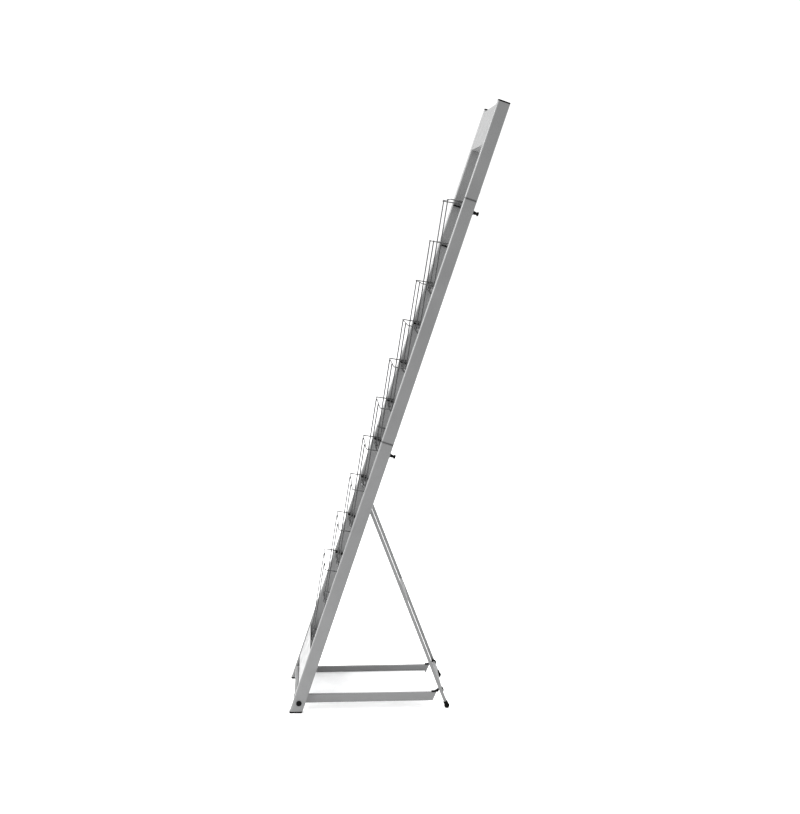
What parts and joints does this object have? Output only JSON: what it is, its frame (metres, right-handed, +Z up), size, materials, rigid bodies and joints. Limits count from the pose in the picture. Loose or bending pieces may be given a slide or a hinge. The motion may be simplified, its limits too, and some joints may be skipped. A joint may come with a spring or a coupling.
{
  "type": "leaning brochure rack",
  "caption": "Leaning floor rack with wire pockets for brochures between two sectioned tube rails, a header panel, a fold-out base and a hinged rear prop.",
  "frame": {"origin": "on the floor, at the middle of the rack's bounding box", "axes": "+X to the right as seen from the front, the front faces -Y, +Z up"},
  "size_m": [0.3072, 0.5866, 1.65],
  "materials": {
    "grey_paint": "silver grey powder coat, satin",
    "pale_paint": "pale grey powder coat, satin",
    "wire": "bright plated wire",
    "zinc": "zinc plated",
    "black_plastic": "fine matt texture",
    "black_paint": "black powder coat",
    "black_rubber": "matt"
  },
  "bodies": {
    "lower_frame": {"lower_rail_left": "grey_paint", "lower_rail_right": "grey_paint", "foot_pad_left": "black_rubber", "foot_pad_right": "black_rubber", "lower_panel": "pale_paint", "lower_panel_rivets": "zinc", "lower_tie": "grey_paint", "pocket_clips_lower": "black_plastic", "hinge_bolts": "zinc", "hinge_spacers": "zinc", "hinge_covers": "black_plastic", "prop_bolts": "zinc", "prop_washers": "zinc", "screw_bosses_lower": "black_paint", "pocket_07": "wire", "pocket_08": "wire", "pocket_09": "wire", "pocket_10": "wire"},
    "middle_section": {"middle_rail_left": "grey_paint", "middle_rail_right": "grey_paint", "middle_spigots": "zinc", "middle_rivets": "zinc", "middle_tie": "grey_paint", "pocket_clips_middle": "black_plastic", "screw_bosses_middle": "black_paint", "pocket_01": "wire", "pocket_02": "wire", "pocket_03": "wire", "pocket_04": "wire", "pocket_05": "wire", "pocket_06": "wire"},
    "upper_section": {"upper_rail_left": "grey_paint", "upper_rail_right": "grey_paint", "upper_spigots": "zinc", "upper_rivets": "zinc", "header_panel": "pale_paint", "header_rivets": "zinc", "top_cap_left": "black_plastic", "top_cap_right": "black_plastic"},
    "base_frame": {"base_bar_left": "grey_paint", "base_bar_right": "grey_paint", "base_front_member": "grey_paint", "base_rear_member": "grey_paint", "base_plate": "pale_paint", "base_end_plugs": "black_plastic", "base_hook_left": "black_paint", "base_hook_right": "black_paint", "base_hook_screws": "zinc"},
    "prop": {"prop_leg_left": "grey_paint", "prop_leg_right": "grey_paint", "prop_upper_bar": "grey_paint", "prop_lower_bar": "grey_paint", "prop_foot_left": "black_rubber", "prop_foot_right": "black_rubber"},
    "screw_lower_left": {"thumb_screw_lower_left": "black_plastic"},
    "screw_lower_right": {"thumb_screw_lower_right": "black_plastic"},
    "screw_upper_left": {"thumb_screw_upper_left": "black_plastic"},
    "screw_upper_right": {"thumb_screw_upper_right": "black_plastic"}
  },
  "joints": [
    {"name": "base_fold", "type": "hinge", "parent": "lower_frame", "child": "base_frame", "pos_m": [0, -0.26667, 0.02843], "axis": [1, 0, 0], "range_deg": [0, 52]},
    {"name": "prop_fold", "type": "hinge", "parent": "lower_frame", "child": "prop", "pos_m": [0, -0.07944, 0.58477], "axis": [1, 0, 0], "range_deg": [-26, 0]},
    {"name": "middle_lift", "type": "slide", "parent": "lower_frame", "child": "middle_section", "axis": [0, 0.319, 0.9478], "range_m": [0, 0.06]},
    {"name": "upper_lift", "type": "slide", "parent": "middle_section", "child": "upper_section", "axis": [0, 0.319, 0.9478], "range_m": [0, 0.06]},
    {"name": "screw_lower_left_turn", "type": "hinge", "parent": "lower_frame", "child": "screw_lower_left", "pos_m": [-0.141, -0.01852, 0.71251], "axis": [0, 0.9478, -0.319], "continuous": true},
    {"name": "screw_lower_right_turn", "type": "hinge", "parent": "lower_frame", "child": "screw_lower_right", "pos_m": [0.141, -0.01852, 0.71251], "axis": [0, 0.9478, -0.319], "continuous": true},
    {"name": "screw_upper_left_turn", "type": "hinge", "parent": "middle_section", "child": "screw_upper_left", "pos_m": [-0.141, 0.19854, 1.35747], "axis": [0, 0.9478, -0.319], "continuous": true},
    {"name": "screw_upper_right_turn", "type": "hinge", "parent": "middle_section", "child": "screw_upper_right", "pos_m": [0.141, 0.19854, 1.35747], "axis": [0, 0.9478, -0.319], "continuous": true}
  ],
  "couplings": [
    {"joint": "prop_fold", "follows": "base_fold", "ratio": -0.5}
  ]
}
